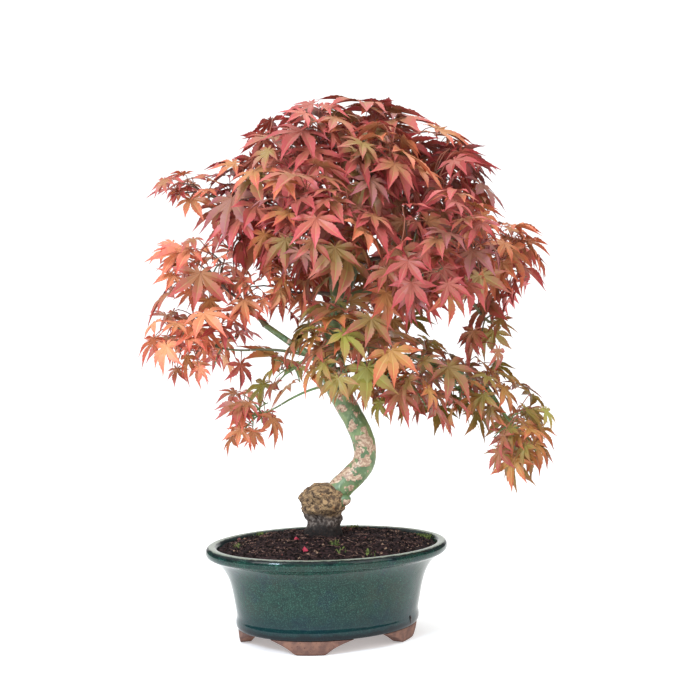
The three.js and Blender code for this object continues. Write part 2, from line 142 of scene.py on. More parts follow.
# The foliage masses: heart, reach to each side of it, the limb that carries it, where its
# branch leaves that limb (a height, or up to 1 a share), its leaves' look and number.
TIP = 1  # of the limb, as a share of its length
MASSES = {
    "top_left": ((-19, -8, 413), (60, 74, 52), "leader_left", TIP, "red", 54),
    "top_middle": ((32, 12, 430), (50, 68, 40), "leader_right", TIP, "red", 46),
    "top_front": ((36, -50, 398), (48, 48, 44), "leader_right", 372, "red", 40),
    "top_right": ((85, 4, 396), (60, 74, 52), "leader_right", 366, "red", 56),
    "shoulder_left": ((-58, -8, 375), (45, 64, 47), "leader_left", 330, "red", 44),
    "arm_left": ((-112, -4, 384), (46, 38, 18), "leader_left", 342, "orange", 12),
    "front_left": ((-8, -72, 350), (60, 54, 56), "leader_left", 322, "red", 50),
    "front_right": ((80, -72, 330), (62, 54, 64), "leader_right", 318, "red", 58),
    "right_out": ((142, -2, 322), (54, 62, 42), "bough_right", TIP, "red", 42),
    "right_under": ((138, -12, 270), (24, 40, 32), "bough_right", 0.9, "olive", 8),
    "back_left": ((-24, 70, 360), (64, 56, 60), "leader_left", 338, "red", 46),
    "back_right": ((86, 72, 358), (68, 54, 62), "leader_right", 345, "red", 48),
    "left_middle": ((-104, 4, 316), (54, 62, 40), "bough_left", TIP, "orange", 38),
    "left_low": ((-112, -4, 254), (54, 56, 38), "trunk", 236, "orange", 36),
    "left_inner": ((-50, 8, 303), (46, 50, 42), "leader_left", 293, "orange", 30),
    "left_under": ((-38, -6, 226), (27, 34, 24), "bough_left", 0.3, "olive", 7),
    "left_hang": ((-69, -5, 189), (35, 34, 38), "trunk", 217, "orange", 15),
    "centre_low": ((14, -48, 252), (52, 50, 54), "trunk", 230, "olive", 40),
    "low_right_inner": ((68, -27, 221), (46, 48, 44), "bough_low_right", 0.2, "olive", 34),
    "low_right_middle": ((118, 10, 210), (46, 50, 42), "bough_low_right", 0.6, "olive", 32),
    "low_right_out": ((164, -2, 177), (34, 42, 52), "bough_low_right", TIP, "olive", 27),
    "back_low": ((30, 58, 284), (62, 54, 52), "trunk", 262, "olive", 40),
}
SLIM = {"left_low": 0.7, "left_hang": 0.55}  # branches thinner than the others, by a factor
BRANCH = {"rise": 0.12, "radius": (2.2, 1.4)}
SPRAY = {
    "entry": (0.85, 0.75, 0.65, 0.55, 0.45),  # where a branch may end, as a share of the reach
    "longest": 0.9,  # of the way to the limb, where the limb is inside the mass
    "stem": (1.3, 0.9),  # radius at its foot and its tip
    "twig": (0.8, 0.45),
    "stalk": (0.5, 0.34),
    "twigs": 6,
    "twig_reach": 0.62,  # as a share of the reach
    "tries": 3200,
    "outwards": 0.35,  # the power that sends leaves to the outside: below 1/3, most lie there
    "inside": 0.85,  # how far out a leaf's middle may lie, as a share of the reach
    "stretch": 1.13,  # and how far its tips may
    "rise": 0.1,  # of a twig's middle over its chord, as a share of its length
}
GOLDEN_ANGLE = math.pi * (3 - math.sqrt(5))

LEAF = {
    "length": {"red": (24, 50), "orange": (17, 37), "olive": (21, 44)},
    "stalk": 0.85,  # the longest, as a share of the length
    "stalk_spread": math.radians(100),
    "lobes": [(0, 1), (44, 0.93), (-44, 0.93), (88, 0.7), (-88, 0.7), (130, 0.36), (-130, 0.36)],
    "notch": 0.29,  # how far out two neighbouring lobes part, as a share of the shorter
    "heel": (24, 0.07),  # the blade's end by its stalk: degrees past the last lobe, and how far out
    "arch": 0.2,  # how far the tips hang below the middle
    "droop": (math.radians(20), math.radians(75)),
    "lift": math.radians(20),
    "fold": math.radians(72),
    "swing": 0.9,
    "roll": 0.6,
    "variants": 14,
}
# Half a lobe's outline beyond its notch: (share of its length, share of its greatest half width).
# Every second point is the tip of a tooth.
LOBE = [
    (0.36, 0.80), (0.44, 1.0), (0.46, 0.88), (0.54, 1.0), (0.56, 0.82), (0.64, 0.82), (0.67, 0.60),
    (0.74, 0.52), (0.78, 0.33), (0.86, 0.2), (1, 0),
]
LOBE_WIDTH = (0.12, 0.175)  # the greatest half width, as a share of the lobe's length
VEIN = (0.016, 0.005)  # half width of its midrib at the leaf's middle and at the lobe's tip
VEIN_END = 0.72  # how far out the midrib has its own colour, as a share of the lobe's length
HEART_END = 0.5  # how far out the blade still has some of its heart's colour
TIP_START = 0.66  # and from where on the lobe has its tip's colour

PARTS = ("blade", "heart", "inner", "rib", "tip")  # of a leaf, each with its own colour

CAMERA = {"place": (18.3, -987, 246.7), "lens": 58.6, "sensor": 36}

# The studio, in metres and watts. Each light has a place, a target, a size, a power and a tint.
WHITE = (1, 1, 1)
LIGHTS = {
    "key": ((-0.9, -1.0, 1.3), (0, 0, 0.2), 0.9, 10, WHITE),
    "window": ((-0.5, -0.85, 0.75), (0, 0, 0.08), 0.2, 7, (0.6, 0.8, 1)),
    "fill": ((1.2, -0.8, 0.9), (0, 0, 0.2), 0.9, 5, WHITE),
    "top": ((0.1, 0.3, 1.8), (0, 0, 0.2), 1.4, 8, WHITE),
}
# The white round about: along an axis, from one place to another, from one strength to another.
BACKDROP = ("Y", 0.86, 0.98, 0.1, 1.0)
CEILING = ("Z", 0.35, 0.8, 0.12, 1.2)
SKY = ("Z", -0.1, 0.7, 0.34, 1.2)
TO_THE_EYE = 1.2  # strength of the white that shows past the floor
FLOOR = {"half": 12.0, "grey": 0.84, "glow": 0.34}

# Heights between which a look changes, from none of it to all of it, in millimetres.
FADES = {
    "blue_foot": (42, 18),
    # The lip's dark band is a painted reflection; the bead's is painted shade on its underside.
    "lip_dark_reflection": (80, 84),
    "bead_underside_shade": (22, 18),
    # The pale rim top is a painted reflection.
    "rim_top_reflection": (80.9, 81.3),
    # The feet grow darker towards the sole.
    "darker_sole": (2.2, 0.4),
    "cork": (109, 116),
    # The stub's near black foot is painted shade.
    "stub_foot_shade": (107, 99),
    "bare_trunk": (225, 310),
    "scar_from": (214, 214.8),
    "scar_to": (217.4, 216.6),
    "brown_top": (270, 350),
    "green_twig": (262, 225),
}

# ---- colours


def colour(code):
    """A colour of six hex digits as Blender's linear numbers."""
    parts = [int(code[i : i + 2], 16) / 255 for i in (0, 2, 4)]
    return (*[c / 12.92 if c < 0.04045 else ((c + 0.055) / 1.055) ** 2.4 for c in parts], 1)


# Autumn tints: the blade's colour, that of its heart, its midribs, and its lobes' tips.
TINTS = {
    "rose": ("b74e4c", "b05e4a", "bc7a54", "b84449"),
    "dusty_red": ("ad5448", "a06845", "ac8250", "af4642"),
    "brick": ("b95a40", "b27443", "c29256", "b84a3c"),
    "crimson": ("a64241", "9f5143", "ab6b50", "aa3a3e"),
    "mauve": ("955452", "925d4b", "9a7656", "93494f"),
    "orange": ("c56c48", "bc7a50", "ca965e", "c25c43"),
    "salmon": ("da7b5b", "da8e62", "e6ae7a", "d6624c"),
    "coral": ("d26a54", "d07f59", "dca26e", "d05147"),
    "apricot": ("d58b66", "d29b68", "deb482", "d27458"),
    "olive_brown": ("98723d", "927e3d", "a69e54", "a06443"),
    "yellow_green": ("9e8545", "948e3d", "b0b05c", "a27447"),
    "brown_red": ("9e5e44", "927240", "a2904e", "a84d43"),
    "orange_brown": ("c07246", "b68346", "caa45c", "c05a44"),
}
# How a mass's tints are dealt to its sprays: a tint named twice comes twice as often.
DEALS = {
    "red": [
        "rose", "dusty_red", "dusty_red", "brick", "crimson", "brown_red", "orange", "crimson",
        "mauve",
    ],
    "orange": ["salmon", "coral", "brick", "apricot", "dusty_red", "orange", "coral", "rose"],
    "olive": [
        "olive_brown", "yellow_green", "orange_brown", "dusty_red", "brown_red", "orange_brown",
        "olive_brown",
    ],
}
# Soils, dark to light, each between two colours: the bed is of the second, the crumbs of all.
SOILS = {
    "black_crumb": ("0e0908", "2a1d19"),
    "dark_soil": ("120c0d", "3a2929"),
    "brown_crumb": ("2c1f1e", "5c4440"),
    "tan_crumb": ("6c5248", "a88a72"),
}
STRAY = 0.35  # the share of a spray's leaves that take a tint of their own

# ---- lines and seeded numbers


def seeded(seed):
    """Numbers from 0 to 1 that always come in the same order from the same seed."""
    state = seed

    def draw(low=0.0, high=1.0):
        nonlocal state
        state = (state * 1664525 + 1013904223) % 2**32
        return low + (high - low) * state / 2**32

    return draw


class Path:
    """A line through space, measured by its own length."""

    def __init__(self, points):
        self.points = np.array(points, float)
        steps = np.linalg.norm(np.diff(self.points, axis=0), axis=1)
        self.marks = np.concatenate([[0], np.cumsum(steps)])
        self.length = self.marks[-1]

    def at(self, share):
        spot = np.asarray(share) * self.length
        return np.stack([np.interp(spot, self.marks, self.points[:, k]) for k in range(3)], -1)

    def heading(self, share):
        step = 0.01
        return unit(self.at(min(share + step, 1)) - self.at(max(share - step, 0)))


def unit(vector):
    return vector / np.linalg.norm(vector)


def smooth_line(places, steps=24):
    """A centripetal Catmull-Rom curve through places."""
    p = [np.array(place, float) for place in places]
    p = [2 * p[0] - p[1], *p, 2 * p[-1] - p[-2]]
    points = []
    for a, b, c, d in zip(p, p[1:], p[2:], p[3:]):
        before, here, after = (math.sqrt(np.linalg.norm(v)) for v in (b - a, c - b, d - c))
        start = ((b - a) / before - (c - a) / (before + here) + (c - b) / here) * here
        end = ((c - b) / here - (d - b) / (here + after) + (d - c) / after) * here
        for t in np.linspace(0, 1, steps, endpoint=False):
            hermite = (2 * b - 2 * c + start + end) * t**3
            hermite += (3 * c - 3 * b - 2 * start - end) * t**2
            points.append(hermite + start * t + b)
    return Path([*points, p[-2]])


def bent_line(start, control, end, steps=8):
    """A quadratic Bezier curve."""
    t = np.linspace(0, 1, steps + 1)[:, None]
    return Path((1 - t) ** 2 * start + 2 * t * (1 - t) * control + t**2 * end)


def sagging_line(start, end, rise, steps=4):
    """A short curve whose middle lies over its chord, by a share of its length."""
    control = (start + end) / 2
    control[2] += 2 * rise * np.linalg.norm(end - start)
    return bent_line(start, control, end, steps)


def along(outline, share):
    shares, values = zip(*outline)
    return np.interp(share, shares, values)


def between(ends, share):
    return ends[0] + (ends[1] - ends[0]) * share


# ---- meshes


class Shape:
    """Corners and faces that become one mesh. Each face has the number of its finish."""

    def __init__(self):
        self.corners, self.faces, self.finishes, self.count = [], [], [], 0

    def add(self, corners, faces, finishes=0):
        base = self.count
        self.corners.append(np.asarray(corners, float))
        self.count += len(corners)
        self.faces += [tuple(i + base for i in face) for face in faces]
        self.finishes += [finishes] * len(faces) if isinstance(finishes, int) else finishes
        return self

    def mesh(self, name):
        """Its mesh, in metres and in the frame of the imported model."""
        return new_mesh(name, placed(np.concatenate(self.corners)).tolist(), self.faces)


def placed(points):
    """Points of the plant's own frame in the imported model's, in metres."""
    return np.asarray(points) * MM + POT_MIDDLE


def new_mesh(name, corners, faces):
    mesh = bpy.data.meshes.new(name)
    mesh.from_pydata(corners, [], faces)
    return mesh


def new_object(name, data):
    made = bpy.data.objects.new(name, data)
    bpy.context.scene.collection.objects.link(made)
    return made


def make_piece(name, shape, finishes, nodes, smooth=True):
    """One mesh object that rides with the plant and stands for its nodes of the frame."""
    mesh = shape.mesh(name)
    for finish in finishes:
        mesh.materials.append(finish)
    mesh.polygons.foreach_set("material_index", shape.finishes)
    mesh.polygons.foreach_set("use_smooth", [smooth] * len(shape.faces))
    mesh.update()
    piece = new_object(name, mesh)
    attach(piece, "root")
    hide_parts(*nodes)
    return piece


def tube(path, radius_at, sides, steps):
    """Corners and faces of a closed tube. radius_at takes shares and angles, as arrays."""
    shares = np.linspace(0, 1, steps + 1)
    middles = path.at(shares)
    ways = np.gradient(middles, axis=0)
    ways /= np.linalg.norm(ways, axis=1)[:, None]
    across = np.cross(ways[0], [0, 1, 0] if abs(ways[0][1]) < 0.8 else [1, 0, 0])
    normals = []
    for way in ways:  # carried along with no twist
        across = unit(across - way * (across @ way))
        normals.append(across)
    normals = np.array(normals)
    binormals = np.cross(ways, normals)
    angles = np.arange(sides) * 2 * math.pi / sides
    radii = np.broadcast_to(radius_at(shares[:, None], angles[None, :]), (steps + 1, sides))
    rings = normals[:, None] * np.cos(angles)[None, :, None]
    rings = rings + binormals[:, None] * np.sin(angles)[None, :, None]
    corners = middles[:, None] + rings * radii[..., None]
    return corners.reshape(-1, 3), ring_faces(steps + 1, sides)


def ring_faces(rings, sides, capped=True):
    """The faces between rings of corners, and those that close the first and the last ring."""
    faces = []
    for i in range(rings - 1):
        for j in range(sides):
            k = (j + 1) % sides
            faces.append((i * sides + j, i * sides + k, (i + 1) * sides + k, (i + 1) * sides + j))
    if capped:
        faces.append(tuple(reversed(range(sides))))
        faces.append(tuple(range((rings - 1) * sides, rings * sides)))
    return faces


def tapered(path, start, end, sides, steps):
    return tube(path, lambda share, angle: start + (end - start) * share, sides, steps)


def turned(points, angle=POT["turn"]):
    """Points turned about the upright."""
    x, y, z = np.asarray(points, float).T
    cos, sin = math.cos(angle), math.sin(angle)
    return np.stack([x * cos - y * sin, x * sin + y * cos, z], -1)


def rough(place, size, detail=4):
    """Fractal noise between about -1 and 1, with features of a size."""
    return noise.fractal(Vector(place) / size, 0.8, 2.0, detail)


def rough_round(radii, angle, height, size, detail):
    """The noise at arrays of places round an upright axis."""
    places = np.broadcast_arrays(radii * np.cos(angle), radii * np.sin(angle), height)
    return np.vectorize(lambda *place: rough(place, size, detail))(*places)


# ---- materials


def plain(name, base, **values):
    """A material with one colour and plain values."""
    made = bpy.data.materials.new(name)
    made.use_nodes = True
    shader = made.node_tree.nodes["Principled BSDF"]
    shader.inputs["Base Color"].default_value = base
    for socket, value in values.items():
        shader.inputs[socket.replace("_", " ")].default_value = value
    return made


class Nodes:
    """A node tree, with short ways to add to it."""

    def __init__(self, tree):
        self.tree = tree

    def add(self, kind, **links):
        node = self.tree.nodes.new("ShaderNode" + kind)
        for socket, value in links.items():
            self.set(node.inputs[socket.replace("_", " ")], value)
        return node

    def set(self, socket, value):
        if isinstance(value, bpy.types.NodeSocket):
            self.tree.links.new(value, socket)
        else:
            socket.default_value = value

    def math(self, operation, a, b):
        node = self.add("Math")
        node.operation = operation
        self.set(node.inputs[0], a)
        self.set(node.inputs[1], b)
        return node.outputs[0]

    def mix(self, share, a, b, kind="RGBA"):
        """A colour between two, or a number if its kind is FLOAT."""
        node = self.add("Mix", Factor=share)
        node.data_type = kind
        first, result = {"RGBA": (6, 2), "FLOAT": (2, 0)}[kind]
        self.set(node.inputs[first], a)
        self.set(node.inputs[first + 1], b)
        return node.outputs[result]


class Pattern(Nodes):
    """A material's node tree. Its patterns go by the place on the object, in millimetres."""

    def __init__(self, name, **values):
        self.material = plain(name, (0.5, 0.5, 0.5, 1), **values)
        super().__init__(self.material.node_tree)
        self.shader = self.tree.nodes["Principled BSDF"]
        self.place = self.add("TexCoord").outputs["Object"]

    def noise(self, size, detail=3.0, stretch=(1, 1, 1)):
        """Noise with features of a size, longer along the axes stretched under 1."""
        place = self.add("Mapping", Vector=self.place, Scale=stretch).outputs["Vector"]
        node = self.add("TexNoise", Vector=place, Scale=1 / (size * MM), Detail=detail)
        return node.outputs["Fac"]

    def height(self):
        upright = self.add("SeparateXYZ", Vector=self.place).outputs["Z"]
        return self.math("MULTIPLY", upright, 1 / MM)

    def wavy_height(self, size, depth, detail=3.0):
        """The height, with a noise added to it."""
        waves = self.math("MULTIPLY", self.noise(size, detail), depth)
        return self.math("ADD", self.height(), waves)

    def steps(self, value, low, high):
        """0 under low, 1 over high, and a smooth rise between."""
        node = self.add("MapRange", Value=value, From_Min=low, From_Max=high)
        node.interpolation_type = "SMOOTHSTEP"
        return node.outputs["Result"]

    def patches(self, size, detail, low, high, stretch=(1, 1, 1)):
        """1 where a noise is over high, or under it if low is more."""
        return self.steps(self.noise(size, detail, stretch), low, high)

    def mottled(self, first, second, *patches):
        """Two colours in patches."""
        return self.mix(self.patches(*patches), colour(first), colour(second))

    def lay(self, base, code, share, most=1):
        """Another colour over a base, where a share is over 0, and at most so much of it."""
        if most != 1:
            share = self.math("MULTIPLY", share, most)
        return self.mix(share, base, colour(code))

    def fade(self, base, code, name, most=1, height=None):
        """Another colour over a base, by the height and one of the FADES."""
        height = self.height() if height is None else height
        return self.lay(base, code, self.steps(height, *FADES[name]), most)

    def bump(self, height, depth):
        """Relief of a depth in millimetres."""
        node = self.add("Bump", Height=height, Distance=depth * MM, Strength=1.0)
        self.set(self.shader.inputs["Normal"], node.outputs["Normal"])

    def finish(self, base):
        self.set(self.shader.inputs["Base Color"], base)
        return self.material


def glaze_finish():
    """Deep green glaze, finely speckled, with painted light: a near black painted reflection along
    the lip, painted shade under the bead, and a pale painted reflection on the rim's flat top.
    """
    p = Pattern("green_glaze", Roughness=0.07, IOR=1.36)
    body = p.mottled("112d28", "18362e", 9, 4, 0.35, 0.65)
    body = p.lay(body, "28332a", p.patches(24, 3, 0.5, 0.66), 0.55)
    body = p.lay(body, "0d2833", p.patches(19, 3, 0.46, 0.36), 0.5)
    body = p.lay(body, "3a6657", p.patches(0.9, 1, 0.5, 0.68), 0.6)
    body = p.lay(body, "08201e", p.patches(0.8, 1, 0.54, 0.72), 0.7)
    body = p.fade(body, "0b2730", "blue_foot", 0.6)
    # Near black painted light: a dark reflection along the top of the lip and shade under the bead.
    wavy = p.wavy_height(11, 7)
    dark_bands = [p.steps(wavy, *FADES[name]) for name in ("lip_dark_reflection", "bead_underside_shade")]
    body = p.lay(body, "0b0f14", p.math("MAXIMUM", *dark_bands), 0.85)
    # A pale painted reflection of the backdrop on the rim's flat top.
    body = p.fade(body, "8f9786", "rim_top_reflection", 0.8, p.wavy_height(5, 1))
    p.bump(p.noise(9, 2), 0.18)
    return p.finish(body)


def clay_finish():
    """Unglazed brown clay."""
    p = Pattern("brown_clay", Roughness=0.82)
    base = p.mottled("664840", "86604f", 6, 5, 0.35, 0.68)
    base = p.lay(base, "523226", p.patches(1.1, 2, 0.62, 0.7))
    # Darker towards the sole, over its last two millimetres.
    base = p.fade(base, "5b3a2c", "darker_sole")
    p.bump(p.noise(1.4, 4), 0.25)
    return p.finish(base)


def soil_finish(name, dark, light):
    """Damp crumbly soil, between two colours."""
    p = Pattern(name, Roughness=0.9, Specular_IOR_Level=0.15)
    base = p.mottled(dark, light, 2.6, 6, 0.38, 0.66)
    p.bump(p.noise(1.2, 5), 0.5)
    return p.finish(base)


def cork_finish():
    """Golden corky bark with dark pits, over a grey stub with painted shade that turns it near
    black at its foot, under its swelling.
    """
    p = Pattern("corky_bark", Roughness=0.9)
    cork = p.mottled("5b4736", "ab8b64", 3.5, 6, 0.36, 0.62)
    cork = p.lay(cork, "96643c", p.patches(7, 3, 0.62, 0.74))
    grey = p.mottled("40352f", "80736a", 2.6, 5, 0.38, 0.66)
    height = p.wavy_height(9, 14, 4)
    base = p.mix(p.steps(height, *FADES["cork"]), grey, cork)
    # Painted shade: the stub's foot, under its swelling, goes near black.
    base = p.fade(base, "1b1411", "stub_foot_shade", 1, height)
    base = p.lay(base, "2e1f18", p.patches(2.0, 5, 0.47, 0.38), 0.85)
    p.bump(p.noise(1.8, 6), 1.3)
    return p.finish(base)


def bark_finish():
    """Smooth green bark, a ring scar, and tan patches that grow fewer up the trunk."""
    p = Pattern("green_bark", Roughness=0.46, Coat_Weight=0.12, Coat_Roughness=0.35)
    green = p.mottled("58704a", "80935f", 14, 3, 0.36, 0.64)
    green = p.lay(green, "a2b58e", p.patches(2.4, 3, 0.58, 0.74, (1, 1, 0.4)))
    tan = p.mottled("a5826a", "cdb397", 2.0, 5, 0.42, 0.6)
    tan = p.lay(tan, "77563f", p.patches(3.2, 4, 0.6, 0.68))
    fewer = p.math("MULTIPLY", p.steps(p.height(), *FADES["bare_trunk"]), 0.1)
    patches = p.steps(p.math("SUBTRACT", p.noise(9, 6), fewer), 0.532, 0.547)
    base = p.mix(patches, green, tan)
    wavy = p.wavy_height(7, 6)
    scar = [p.steps(wavy, *FADES[name]) for name in ("scar_from", "scar_to")]
    base = p.lay(base, "4a3229", p.math("MULTIPLY", *scar), 0.85)
    base = p.fade(base, "54483a", "brown_top", 0.75)
    p.bump(p.math("ADD", patches, p.noise(1.6, 4)), 0.3)
    return p.finish(base)


def twig_finish():
    """Thin young bark, brown to dull green."""
    p = Pattern("twig_bark", Roughness=0.6)
    base = p.mottled("574036", "666543", 22, 2, 0.42, 0.6)
    return p.finish(p.fade(base, "6d8550", "green_twig"))


def moss_finish():
    p = Pattern("moss", Roughness=0.8)
    return p.finish(p.mottled("414f28", "76823e", 3, 3, 0.4, 0.6))


def blend(code, other):
    """The colour half way between two codes."""
    return tuple((a + b) / 2 for a, b in zip(colour(code), colour(other)))


def leaf_finishes():
    """Five materials for each tint, in the order of the leaf's parts."""
    made = []
    for name, (blade, heart, rib, tip) in TINTS.items():
        pairs = (blade, blade), (heart, heart), (heart, blade), (rib, heart), (tip, blade)
        for part, pair in zip(PARTS, pairs):
            made.append(plain("leaf_" + name + "_" + part, blend(*pair), Roughness=0.5))
    return made


# ---- pot, feet and soil


def arc(sizes, steps):
    """Points of a profile round part of an ellipse."""
    (x, z), (wide, tall) = sizes["middle"], sizes["reach"]
    angles = np.radians(np.linspace(*sizes["degrees"], steps))
    return [(x + wide * math.cos(a), z + tall * math.sin(a)) for a in angles]


def wall(sizes, steps=14):
    up = np.linspace(0, 1, steps)
    radii = sizes["low"] + sizes["lean"] * up + sizes["flare"] * up**CURL
    return list(zip(radii, sizes["from"] + (sizes["to"] - sizes["from"]) * up))


def on_oval(share, angle, height):
    """The place at a share of the way out to the rim, at an angle round the pot."""
    x, y = POT["half_length"] * share * np.cos(angle), POT["half_width"] * share * np.sin(angle)
    return turned(np.stack(np.broadcast_arrays(x, y, height), -1).reshape(-1, 3))


def share_out(x, y):
    """How far out towards the rim a point of the plant's frame is, as a share."""
    u, v, _ = turned([(x, y, 0)], -POT["turn"])[0]
    return math.hypot(u / POT["half_length"], v / POT["half_width"])


def oval(profile, sides):
    """Corners and faces of a profile of (share of the rim, height), turned and made oval."""
    angles = np.arange(sides) * 2 * math.pi / sides
    corners = [on_oval(radius, angles, height) for radius, height in profile]
    return np.concatenate(corners), ring_faces(len(profile), sides)


def make_pot(glaze, clay):
    """The bowl, from the middle of its underside out, up the wall, over the lip and in again."""
    sides, rings_of_clay = 128, 4  # bare clay up to the foot of the glaze
    profile = [
        (MIDDLE, UNDERSIDE), (BASE / 2, UNDERSIDE), (BASE - 0.01, UNDERSIDE),
        (BASE, UNDERSIDE + 0.3), (BASE + 0.012, UNDERSIDE + 1),
        *arc(BEAD, 11),
        WAIST,
        *wall(OUTER_WALL, 26),
        *arc(LIP, 16),
        *LIP_TOP,
        *reversed(wall(INNER_WALL, 12)),
        (MIDDLE, INNER_WALL["from"]),
    ]
    corners, faces = oval(profile, sides)
    finishes = [int(i < rings_of_clay * sides) for i in range(len(faces) - 2)] + [1, 1]
    shape = Shape().add(corners, faces, finishes)
    cut_drains(make_piece("glazed_pot", shape, [glaze, clay], ["pot"]))


def make_drip():
    """A dark run of glaze down the bead: thickest past its middle."""
    def radius(share, angle):
        return DRIP["radius"] * np.sin(math.pi * (0.04 + 0.9 * share**0.7))

    (low, bottom), (high, top) = DRIP["to"], DRIP["from"]
    ends = on_oval(high, DRIP["angle"], top)[0], on_oval(low, DRIP["angle"], bottom)[0]
    dark = plain("dark_glaze", colour("2a1a16"), Roughness=0.2)
    shape = Shape().add(*tube(Path(ends), radius, 12, 10))
    make_piece("glaze_drip", shape, [dark], ["pot"])


def cut_drains(pot):
    """Two round holes through the pot's floor."""
    holes = Shape()
    ends = UNDERSIDE - DRAIN["spare"], INNER_WALL["from"] + DRAIN["spare"]
    for side in (-1, 1):
        line = Path(turned([(side * DRAIN["apart"] / 2, 0, height) for height in ends]))
        holes.add(*tapered(line, DRAIN["radius"], DRAIN["radius"], 32, 1))
    cutter = new_object("drains", holes.mesh("drains"))
    cut = pot.modifiers.new("drains", "BOOLEAN")
    cut.object = cutter
    apply_modifiers(pot)
    bpy.data.objects.remove(cutter)


def apply_modifiers(piece):
    """Gives the piece the shape that its modifiers make."""
    graph = bpy.context.evaluated_depsgraph_get()
    mesh = bpy.data.meshes.new_from_object(piece.evaluated_get(graph))
    piece.modifiers.clear()
    piece.data = mesh


def make_foot(name, place, clay):
    """A clay foot: a fillet under the pot, and corners that round in to a narrow flat sole."""
    across, levels = 12, 14
    corners = []
    for up in np.linspace(0, 1, levels) ** 1.6:
        corner, fillet = up ** FOOT["corner"], up ** FOOT["fillet"]
        span = math.radians(between(FOOT["span"], 0.4 * corner + 0.6 * fillet))
        angles = math.radians(place) + span * np.linspace(-1, 1, across)
        height = up * FOOT["height"]
        corners.append(on_oval(between(FOOT["inner"], up), angles[::-1], height))
        corners.append(on_oval(between(FOOT["outer"], corner), angles, height))
    shape = Shape().add(np.concatenate(corners), ring_faces(levels, 2 * across))
    foot = make_piece("clay_" + name, shape, [clay], [name])
    soft = foot.modifiers.new("worn edges", "BEVEL")
    soft.width, soft.segments, soft.limit_method = FOOT["edge"] * MM, 3, "ANGLE"
    apply_modifiers(foot)


def soil_height(x, y):
    """Height of the soil's mound at a point of the plant's frame."""
    share = min(max((share_out(x, y) - SOIL["crown"]) / (SOIL["reach"] - SOIL["crown"]), 0), 1)
    mound = SOIL["top"] + (SOIL["edge"] - SOIL["top"]) * share ** SOIL["swell"]
    clods = 1.5 * rough((x, y, 0), 11)
    grain = 0.9 * rough((x, y, 40), 3.5, 3)
    return mound + clods + grain - 0.6


def make_soil(soil):
    """The bed: a plug that stands clear of the pot's inside, under a rough mound."""
    rings, sides, clear = 44, 120, 0.004
    bottom = INNER_WALL["from"] + GAP
    top = []
    for out in np.linspace(SOIL["reach"], MIDDLE / 2, rings):
        for x, y, _ in on_oval(out, np.arange(sides) * 2 * math.pi / sides, 0):
            top.append((x, y, soil_height(x, y)))
    plug = [(MIDDLE / 2, bottom), (INNER_WALL["low"] - clear, bottom)]
    plug += [(radius - clear, height) for radius, height in wall(INNER_WALL, 8)[1:]]
    below, _ = oval(plug, sides)
    shape = Shape().add(np.concatenate([below, top]), ring_faces(len(plug) + rings, sides))
    make_piece("soil_bed", shape, [soil], ["soil"])


def on_soil(random, margin=0.97):
    """A place at random on the soil, clear of the rootstock."""
    while True:
        angle, out = random(0, 2 * math.pi), math.sqrt(random()) * SOIL["reach"] * margin
        x, y, _ = on_oval(out, angle, 0)[0]
        if math.hypot(x - ROOTSTOCK["foot"][0], y) > ROOTSTOCK["outline"][0][1]:
            return np.array([x, y, soil_height(x, y)])


def lump(random, place, size):
    """A small crumb: an eight-sided ball with its corners pushed about."""
    corners = []
    for i in range(6):
        axis = np.zeros(3)
        axis[i // 2] = 1 if i % 2 else -1
        corners.append(axis * size * random(0.5, 1) + [random(-0.2, 0.2) * size for _ in range(3)])
    faces = [(1, 3, 5), (3, 0, 5), (0, 2, 5), (2, 1, 5), (3, 1, 4), (0, 3, 4), (2, 0, 4), (1, 2, 4)]
    spin = np.array(Matrix.Rotation(random(0, 6), 3, "Z") @ Matrix.Rotation(random(0, 6), 3, "X"))
    return np.array(corners) @ spin.T + place, faces


def make_crumbs(finishes):
    """Crumbs of soil and bark chips lying on the bed."""
    random, shape = seeded(77), Shape()
    for _ in range(CRUMBS["count"]):
        crumb = lump(random, on_soil(random), random(0.45, 1) ** 2 * CRUMBS["size"])
        shape.add(*crumb, int(random() ** 4 * len(finishes)))
    make_piece("soil_crumbs", shape, finishes, ["soil"], smooth=False)


def make_roots(finish):
    """Fine root strands that lie over the soil."""
    random, shape = seeded(91), Shape()
    for _ in range(ROOTS["count"]):
        place, turn = on_soil(random, 0.9), random(0, 2 * math.pi)
        points = []
        for _ in range(5):
            points.append((*place[:2], soil_height(*place[:2]) + random(0.1, 1)))
            turn += random(-0.9, 0.9)
            place = place + np.array([math.cos(turn), math.sin(turn), 0]) * random(1.5, 4)
        if share_out(*points[-1][:2]) > 0.98 * SOIL["reach"]:
            continue
        shape.add(*tapered(smooth_line(points, 3), random(*ROOTS["radius"]), 0.1, 4, 10))
    make_piece("soil_roots", shape, [finish], ["soil"])


def make_moss(finish, scrap, petal):
    """Tufts of moss, a few fallen scraps of leaf and the fallen petals."""
    random, shape = seeded(53), Shape()
    for x, y, blades, reach in MOSS:
        for _ in range(blades):
            turn, out = random(0, 2 * math.pi), reach * random() ** 0.7
            foot = np.array([x + out * math.cos(turn), y + out * math.sin(turn), 0])
            foot[2] = soil_height(*foot[:2]) - 0.3
            tip = foot + [random(-2.2, 2.2), random(-2.2, 2.2), random(1.4, 4.2)]
            side = np.array([math.sin(turn), -math.cos(turn), 0]) * random(0.35, 0.8)
            middle = (foot + tip) / 2 + [0, 0, 0.5]
            outline = [foot - side * 0.5, foot + side * 0.5, middle + side, tip, middle - side]
            shape.add(outline, [(0, 1, 2, 3, 4)])
    for _ in range(SCRAPS["count"]):
        place = on_soil(random) + [0, 0, 0.7]
        shape.add(*lump(random, place, random(*SCRAPS["size"])), 1)
    for x, y in PETALS["places"]:
        shape.add(*lump(random, (x, y, soil_height(x, y) + 1), PETALS["size"]), 2)
    make_piece("soil_moss", shape, [finish, scrap, petal], ["soil"], smooth=False)


# ---- wood


